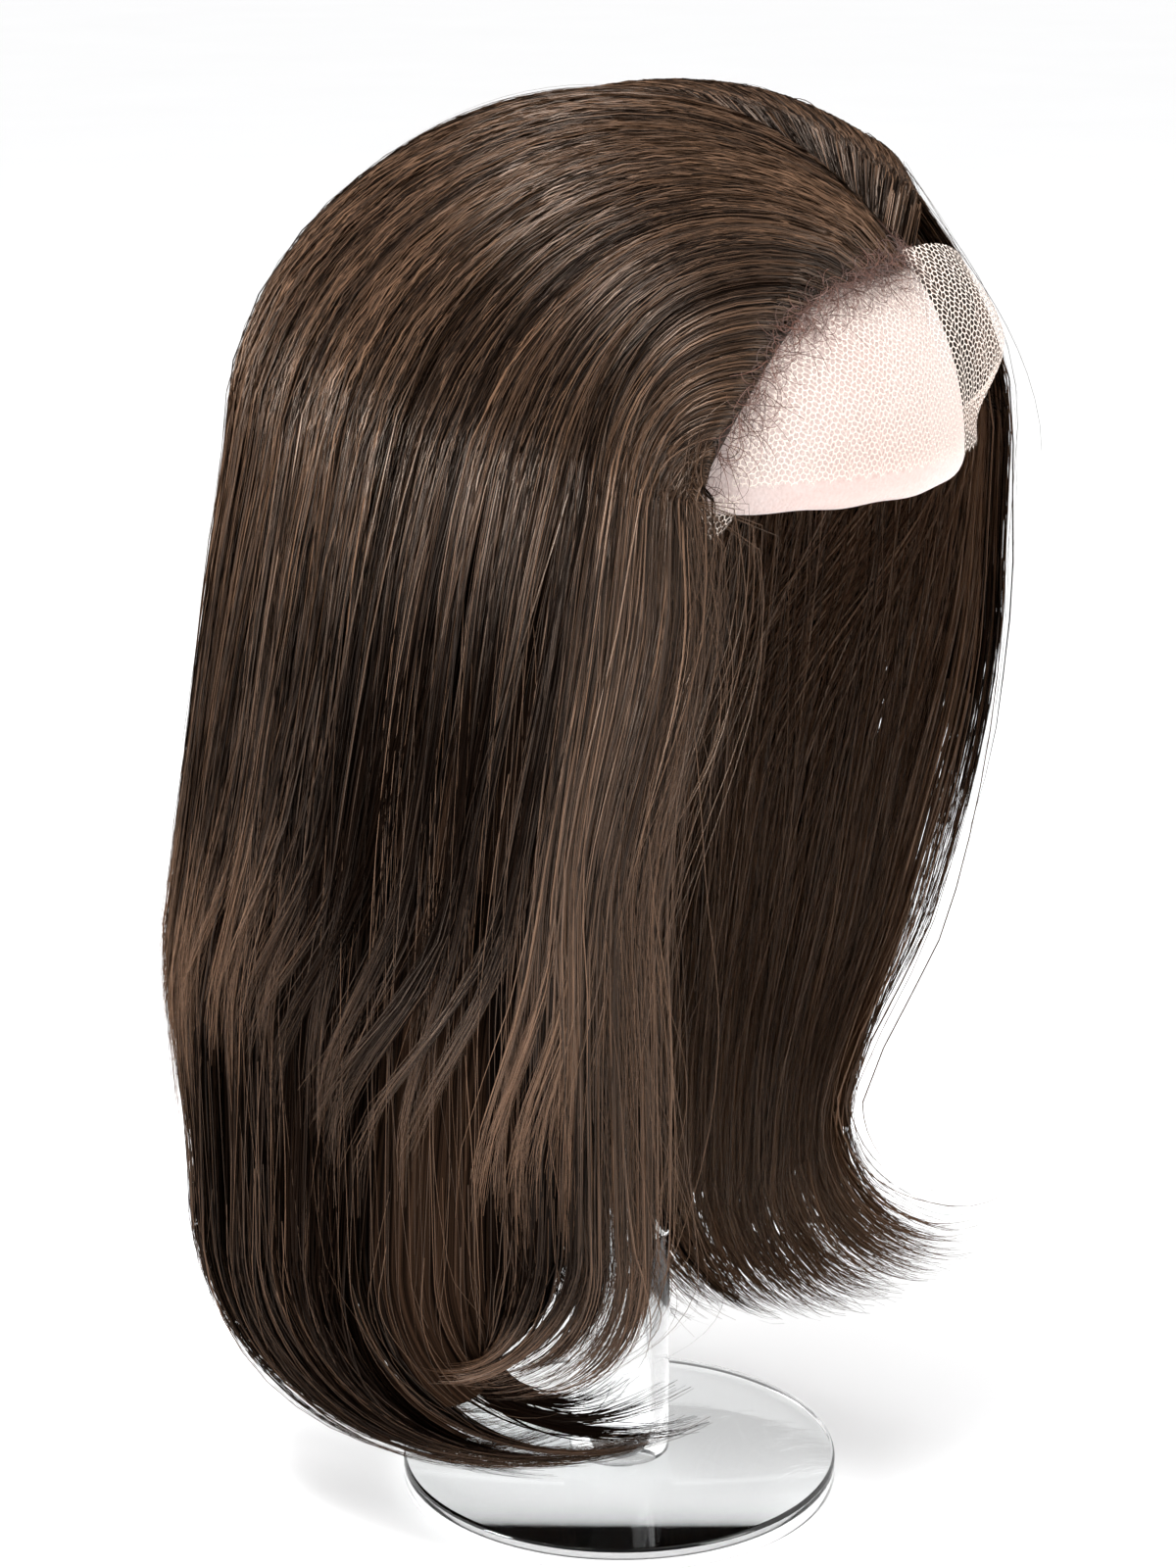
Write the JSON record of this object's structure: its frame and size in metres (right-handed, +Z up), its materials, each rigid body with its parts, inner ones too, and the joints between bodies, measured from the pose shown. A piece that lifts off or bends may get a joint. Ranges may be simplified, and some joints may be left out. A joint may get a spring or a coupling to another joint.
{
  "type": "lace front wig on a stand",
  "caption": "Straight shoulder-length lace front wig with a side part, layered locks and ends that curl in, held on a padded dome with a clear rod, tube and disc base.",
  "frame": {"origin": "middle of the underside of the base disc, where the stand rests", "axes": "+Z up along the stand's rod, -Y towards the wig's front, -X towards the wearer's right"},
  "size_m": [0.2114, 0.238, 0.4125],
  "materials": {
    "clear_plastic": "polished clear acrylic",
    "padding": "pale pink knitted cover over foam, matte",
    "foundation": "dark net, matte",
    "lace": "sheer beige hexagon net, matte",
    "hair": "straight dark brown hair with a soft sheen"
  },
  "bodies": {
    "root": {"stand_base": "clear_plastic", "stand_tube": "clear_plastic", "stand_rod": "clear_plastic", "stand_dome": "padding", "cap": "foundation", "lace_front": "lace", "ear_tab_right": "lace", "ear_tab_left": "lace", "hair_top_right": "hair", "hair_top_left": "hair", "hair_front_right": "hair", "hair_back_right": "hair", "hair_back_left": "hair", "hair_side_left": "hair", "hair_front_left": "hair"}
  },
  "joints": []
}
